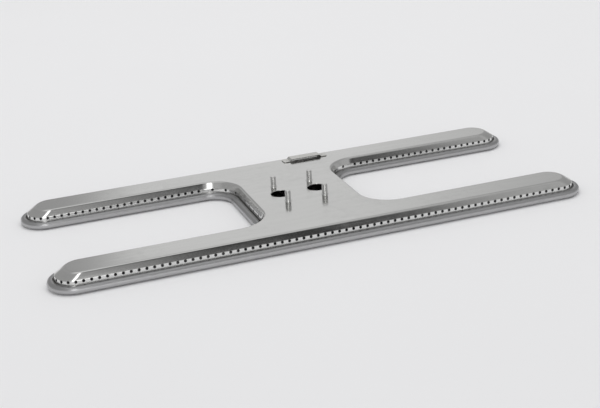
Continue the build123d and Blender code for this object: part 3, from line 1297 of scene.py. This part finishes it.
@dataclass
class BracketStrap:
    """Bridge bent from strip, with two welded tabs and a slot under its raised middle."""

    thickness: float = 0.9 * MM
    gap: float = 2.1 * MM
    bridge_length: float = 33.0 * MM
    ramp: float = 1.6 * MM
    bend_ease: float = 0.35 * MM
    corner_radius: float = 2.0 * MM
    edge_round: float = 0.15 * MM
    weld_radius: float = 1.7 * MM
    weld_depth: float = 0.14 * MM
    weld_shift: float = 0.4 * MM
    edge_wear: float = 0.25
    weld_wear: float = 0.2
    weld_wear_start: float = 0.1
    across: int = 25
    spacing: float = 0.45 * MM

    def middle_line(self, length: float) -> tuple[Array, Array]:
        """Line half way through the strip, from tab to tab, with its four bends rounded.

        The line's direction changes evenly over each bend, so it is the running sum of unit steps whose angle
        is a sum of smooth steps, scaled so that its height over the tabs is the bridge's.

        Args:
            length: Length of the strap along X.

        Returns:
            Points (n, 2) in X and Z from the strap's middle, and the angle of the line at each.
        """
        x = np.linspace(-length / 2, length / 2, int(length / self.spacing) * 2 + 1)
        inner = self.bridge_length / 2
        from_tab = inner + self.ramp + self.bend_ease - np.abs(x)
        rise = smooth_step(from_tab, 0.0, self.ramp + 2 * self.bend_ease)
        z = self.thickness / 2 + self.gap * rise
        angle = np.arctan2(np.gradient(z), np.gradient(x))
        return np.stack([x, z], axis=1), angle

    def build(self) -> Piece:
        """Builds the strip: its cross-section, a rectangle with eased edges, carried along the middle line.

        Near each end the half width shrinks as the rounded corners of a tab do, by R - sqrt(R^2 - (R - d)^2)
        at a distance d from the end. A weld's dimple lowers the upper face by its depth times
        (1 - (r/R)^2)^2 and is stained darker. Shade is painted on the strap's underside.
        """
        middle, size = node_sizes("bracket_strap")
        base = middle[2] - size[2] / 2
        line, angle = self.middle_line(size[0])
        from_end = np.clip(size[0] / 2 - np.abs(line[:, 0]), 0, self.corner_radius)
        shrink = self.corner_radius - np.sqrt(self.corner_radius ** 2 - (self.corner_radius - from_end) ** 2)
        half_width = size[1] / 2 - shrink
        section, upper = self.section()
        across = section[None, :, 0] * (half_width[:, None] - self.edge_round)
        across = across + np.sign(section[None, :, 0]) * section[None, :, 2] * self.edge_round
        up = section[None, :, 1] * self.thickness / 2
        tab = size[0] / 2 - (size[0] - self.bridge_length) / 4 - self.weld_shift
        apart = np.hypot(np.abs(line[:, :1]) - tab, across) / self.weld_radius
        dimple = self.weld_depth * np.clip(1 - apart ** 2, 0, 1) ** 2
        up = up - dimple * upper[None, :]
        x = middle[0] + line[:, :1] - up * np.sin(angle)[:, None]
        z = base + line[:, 1:] + up * np.cos(angle)[:, None]
        y = middle[1] + across
        wear = 0.5 + self.edge_wear * section[None, :, 3] * np.ones((len(line), 1))
        # Painted shade on the strap's underside.
        wear = np.where(section[None, :, 1] < -0.5, 0.0, wear)
        # Weld dimples on the upper face are stained darker.
        welded = smooth_step(dimple, self.weld_wear_start * self.weld_depth, self.weld_depth)
        wear = wear - self.weld_wear * welded * upper[None, :]
        skin = Skin()
        sides = section.shape[0]
        first = skin.add(np.stack([x, y, z], axis=2), wear.ravel())
        skin.cover(grid(first, len(line), sides))
        self.close_end(skin, first, sides, False)
        self.close_end(skin, first + (len(line) - 1) * sides, sides, True)
        return skin.piece("bracket_strap_bent")

    def section(self) -> tuple[Array, Array]:
        """Cross-section of the strip as a closed loop.

        Returns:
            Points (share across, share up, share of the eased edge, wear), and 1 on the upper face or 0.
        """
        spread = np.linspace(-1, 1, self.across)
        flat = np.zeros_like(spread)
        ease = 1 - 2 * self.edge_round / self.thickness
        shoulder = ease + (1 - ease) * 0.3
        side = np.array([(1, shoulder, 0.7, 1.0), (1, ease, 1.0, 0.6), (1, -ease, 1.0, 0.6)])
        rows = [
            np.stack([spread, flat + 1, flat, flat], axis=1),
            side,
            np.stack([spread[::-1], flat - 1, flat, flat], axis=1),
            side[::-1] * np.array([-1, 1, 1, 1]),
        ]
        upper = np.r_[np.ones(self.across), np.zeros(self.across + 2 * len(side))]
        return np.concatenate(rows), upper

    def close_end(self, skin: Skin, first: int, sides: int, last: bool) -> None:
        """Closes one end of the strip with triangles to its middle point."""
        ring = first + np.arange(sides)
        points = np.concatenate(skin.points)[ring]
        middle = skin.add(points.mean(axis=0)[None, :], 0.5)
        pairs = [ring, np.roll(ring, -1), np.full(sides, middle)]
        if last:
            pairs = [pairs[1], pairs[0], pairs[2]]
        skin.cover(np.stack(pairs, axis=1))

    def dress(self, piece: Piece, material: Material) -> None:
        """Gives the strap its finish and its place on the frame."""
        dress(piece, material)
        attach(piece, "root")
        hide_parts("bracket_strap")


# ---------------------------------------------------------------------------------------------------------
# Studio
# ---------------------------------------------------------------------------------------------------------


@dataclass(frozen=True)
class Softbox:
    """One large soft light that looks at a point."""

    name: str
    place: Triple
    target: Triple
    size: tuple[float, float]
    power: float

    def build(self) -> Piece:
        """Makes the area light and turns it to its target."""
        light = bpy.data.lights.new(self.name, "AREA")
        light.shape = "RECTANGLE"
        light.size, light.size_y = self.size
        light.energy = self.power
        made = bpy.data.objects.new(self.name, light)
        made.location = self.place
        made.rotation_euler = (Vector(self.target) - Vector(self.place)).to_track_quat("-Z", "Y").to_euler()
        bpy.context.scene.collection.objects.link(made)
        return made


@dataclass(frozen=True)
class Panel:
    """Part of the room that is lighter or darker than the rest, as a span of headings and heights."""

    heading: Span
    height: Span
    light: float
    heading_soft: Span = (2.0, 2.0)
    height_soft: Span = (4.0, 4.0)

    def paint(self, book: NodeBook, heading: Socket, height: Socket, behind: object) -> Socket:
        """Puts the panel in front of what is behind it.

        Args:
            book: The world's nodes.
            heading: Heading of the way, in degrees.
            height: Height of the way, in degrees.
            behind: Colour or socket of what is behind.

        Returns:
            The colour with the panel.
        """
        share: object = 1.0
        for value, span, soft in ((heading, self.heading, self.heading_soft),
                                  (height, self.height, self.height_soft)):
            rise = book.between(value, (span[0] - soft[0], span[0] + soft[0]), (0.0, 1.0))
            fall = book.between(value, (span[1] - soft[1], span[1] + soft[1]), (1.0, 0.0))
            share = book.maths("MULTIPLY", share, book.maths("MULTIPLY", rise, fall))
        return book.blend(share, behind, opaque(WHITE, self.light))


@dataclass(frozen=True)
class Studio:
    """Pale floor, a room of soft light and dark panels, a key light behind, and the camera."""

    floor_size: float = 8.0
    floor_gap: float = 0.2 * MM
    floor_tint: Tint = (0.86, 0.86, 0.87)
    floor_shade: float = 0.985
    floor_mottle: float = 3.0
    floor_roughness: float = 0.9
    floor_gloss: float = 0.1
    key: Softbox = Softbox("key", (0.25, 0.9, 3.2), (0.0, 0.0, 0.0), (2.6, 2.2), 27.0)
    room_light: float = 0.36
    fill_light: float = 0.72
    panels: tuple[Panel, ...] = (
        Panel((-200.0, 200.0), (66.0, 100.0), 0.72, height_soft=(8.0, 2.0)),
        Panel((-200.0, 200.0), (-14.0, 5.0), 0.84, height_soft=(4.0, 4.0)),
        Panel((-60.0, -30.0), (-12.0, 40.0), 0.45, (6.0, 6.0), (4.0, 10.0)),
        Panel((-150.0, -34.0), (-16.0, 9.0), 0.40, (8.0, 6.0), (3.0, 4.0)),
        Panel((74.0, 150.0), (-16.0, 9.0), 0.42, (8.0, 8.0), (3.0, 4.0)),
        Panel((150.0, 171.0), (2.0, 44.0), 0.70, (9.0, 1.2), (3.0, 18.0)),
        Panel((11.0, 25.8), (11.5, 60.0), 0.025, (3.5, 1.6), (3.0, 12.0)),
        Panel((25.8, 70.0), (11.5, 60.0), 0.46, (1.6, 12.0), (3.0, 12.0)),
        Panel((-24.0, -5.0), (-10.0, 60.0), 2.4, (2.0, 3.0), (4.0, 8.0)),
        Panel((-24.0, 6.5), (-10.0, 14.0), 2.2, (2.0, 2.0), (4.0, 4.0)),
    )
    camera_place: Triple = (-0.3747, -1.1058, 0.4595)
    camera_yaw: float = 0.32692
    camera_pitch: float = 0.37309
    camera_roll: float = -0.05904
    camera_lens: float = 72.97
    camera_sensor: float = 36.0
    camera_clip: float = 0.01

    def floor(self) -> None:
        """Makes the floor: a wide square just under the burner, with a faintly uneven paper finish."""
        half = self.floor_size / 2
        mesh = bpy.data.meshes.new("floor")
        corners = [(-half, -half), (half, -half), (half, half), (-half, half)]
        down = CAD_BOX[0][2] - self.floor_gap
        mesh.from_pydata([(x, y, down) for x, y in corners], [], [(0, 1, 2, 3)])
        made = bpy.data.objects.new("floor", mesh)
        bpy.context.scene.collection.objects.link(made)
        material = bpy.data.materials.new("pale_floor")
        material.use_nodes = True
        book = NodeBook(material.node_tree)
        place = book.node("ShaderNodeTexCoord").outputs["Object"]
        tone = book.noise(place, self.floor_mottle, detail=2.0)
        shader = book.node("ShaderNodeBsdfPrincipled")
        colour = book.blend(tone, opaque(self.floor_tint), opaque(self.floor_tint, self.floor_shade))
        book.feed(shader, "Base Color", colour)
        book.feed(shader, "Roughness", self.floor_roughness)
        book.feed(shader, "Specular IOR Level", self.floor_gloss)
        output = book.node("ShaderNodeOutputMaterial")
        book.feed(output, "Surface", shader.outputs[0])
        dress(made, material)

    def surroundings(self) -> None:
        """Makes the room's light: an even grey with the panels in front of one another.

        A way's heading is the angle of its X over its -Y, and its height the arc sine of its Z, in degrees. A
        panel covers the ways inside its span of heading and of height, with its own soft sides. Matt surfaces
        are lit by an even room instead, so the panels show in the steel and leave no patches on the floor.
        """
        world = bpy.data.worlds.new("studio")
        bpy.context.scene.world = world
        world.use_nodes = True
        book = NodeBook(world.node_tree)
        way = book.node("ShaderNodeSeparateXYZ")
        book.feed(way, 0, book.node("ShaderNodeTexCoord").outputs["Generated"])
        front = book.maths("MULTIPLY", way.outputs["Y"], -1.0)
        heading = book.maths("DEGREES", book.maths("ARCTAN2", way.outputs["X"], front))
        height = book.maths("DEGREES", book.maths("ARCSINE", way.outputs["Z"]))
        light = opaque(WHITE, self.room_light)
        for panel in self.panels:
            light = panel.paint(book, heading, height, light)
        matt = book.node("ShaderNodeLightPath").outputs["Is Diffuse Ray"]
        light = book.blend(matt, light, opaque(WHITE, self.fill_light))
        background = book.node("ShaderNodeBackground")
        book.feed(background, "Color", light)
        output = book.node("ShaderNodeOutputWorld")
        book.feed(output, "Surface", background.outputs[0])

    def lights(self) -> None:
        """Hangs the key light that the floor's soft shadow comes from; only the panels show in the steel."""
        key = self.key.build()
        key.visible_glossy = False
        key.visible_camera = False

    def camera(self) -> None:
        """Makes the camera from its place, yaw, pitch and roll."""
        data = bpy.data.cameras.new("camera")
        data.lens = self.camera_lens
        data.sensor_width = self.camera_sensor
        data.clip_start = self.camera_clip
        made = bpy.data.objects.new("camera", data)
        yaw, pitch, roll = self.camera_yaw, self.camera_pitch, self.camera_roll
        ahead = Vector((math.sin(yaw) * math.cos(pitch), math.cos(yaw) * math.cos(pitch), -math.sin(pitch)))
        level = Vector((math.cos(yaw), -math.sin(yaw), 0.0))
        above = level.cross(ahead)
        right = math.cos(roll) * level + math.sin(roll) * above
        up = -math.sin(roll) * level + math.cos(roll) * above
        turned = Matrix((right, up, -ahead)).transposed().to_4x4()
        made.matrix_world = Matrix.Translation(self.camera_place) @ turned
        bpy.context.scene.collection.objects.link(made)
        bpy.context.scene.camera = made

    def build(self) -> None:
        """Sets up floor, light and camera, and shows colours as they are."""
        self.floor()
        self.surroundings()
        self.lights()
        self.camera()
        bpy.context.scene.view_settings.view_transform = "Standard"


def mounts(name_part: str) -> list[dict]:
    """The record's mounts whose name starts with a word."""
    return [mount for mount in frame["record"]["mounts"] if mount["name"].startswith(name_part)]


def report(piece: Piece) -> None:
    """Logs a piece's name, size and number of faces."""
    size = ", ".join(f"{side / MM:.1f}" for side in piece.dimensions)
    log.info("%s: %s mm, %d faces", piece.name, size, len(piece.data.polygons))


def main() -> None:
    """Builds the pieces in order, dresses them and sets up the studio."""
    logging.basicConfig(level=logging.INFO, format="%(message)s")
    effects = Effects(rolled_grain(), handling_marks(), rubbed_edges())
    materials = {steel.name: steel.material(effects) for steel in (SATIN, ROLLED_PAINTED_DARK, STRAP, STUD, INSIDE)}

    cover_middle, cover_size = node_sizes("cover_shell")
    shell_middle, shell_size = node_sizes("burner_shell")
    outline = Outline(float(cover_size[0]), float(cover_size[1]))
    land_height = float(shell_middle[2] + shell_size[2] / 2)
    studs = [Stud(side, edge, land_height) for side in Side for edge in Edge]
    inlets = mounts("inlet")

    shell = BurnerShell(
        outline=outline,
        land_height=land_height,
        inlets=np.array([mount["pos_m"] for mount in inlets]),
        inlet_radius=inlets[0]["dims"]["r_mm"] * MM,
        studs=np.array([node_sizes(stud.node)[0] for stud in studs]),
    )
    divider_middle, divider_size = node_sizes("centre_divider")
    cover = CoverShell(
        outline=outline,
        height=float(cover_middle[2] + cover_size[2] / 2),
        weld_x=float(divider_middle[0]),
        foot_length=float(divider_size[1]),
    )
    finished = [(shell, SATIN), (cover, ROLLED_PAINTED_DARK), *((stud, STUD) for stud in studs), (BracketStrap(), STRAP)]
    for part, steel in finished:
        piece = part.build()
        part.dress(piece, materials[steel.name])
        report(piece)

    divider = frame["nodes"]["centre_divider"]
    dress(divider, materials[INSIDE.name])
    report(divider)

    Studio().build()


if __name__ == "__main__":
    main()
